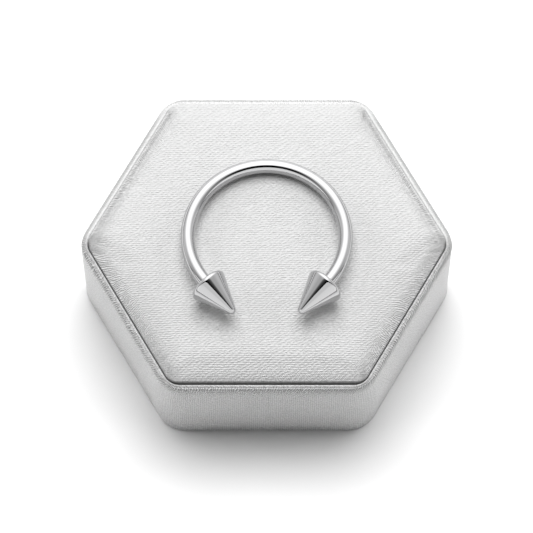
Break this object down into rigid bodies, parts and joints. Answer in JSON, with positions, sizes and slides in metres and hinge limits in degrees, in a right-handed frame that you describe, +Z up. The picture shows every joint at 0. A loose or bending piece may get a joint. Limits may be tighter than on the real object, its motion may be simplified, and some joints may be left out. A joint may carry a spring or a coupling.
{
  "type": "horseshoe barbell on a padded display stand",
  "caption": "Polished steel horseshoe barbell with screw-on cone ends, lying on a low hexagonal display stand padded in pale satin fabric.",
  "frame": {"origin": "on the ground under the middle of the stand", "axes": "+Z up, +X to the right across the mouth of the barbell, +Y towards the back of its arc"},
  "size_m": [0.0416, 0.035, 0.0195],
  "materials": {
    "steel": "mirror-polished surgical steel",
    "base_fabric": "pale grey satin stretched over a firm block",
    "pad_fabric": "pale ribbed satin over a thin pad"
  },
  "bodies": {
    "bar_and_stand": {"ring_bar": "steel", "stand_base": "base_fabric", "stand_pad": "pad_fabric"},
    "cone_left": {"left_cone": "steel"},
    "cone_right": {"right_cone": "steel"}
  },
  "joints": [
    {"name": "left_unscrew", "type": "slide", "parent": "bar_and_stand", "child": "cone_left", "axis": [0.6494, -0.757, 0.0718], "range_m": [0, 0.0024]},
    {"name": "right_unscrew", "type": "slide", "parent": "bar_and_stand", "child": "cone_right", "axis": [-0.6494, -0.757, 0.0718], "range_m": [0, 0.0024]}
  ]
}
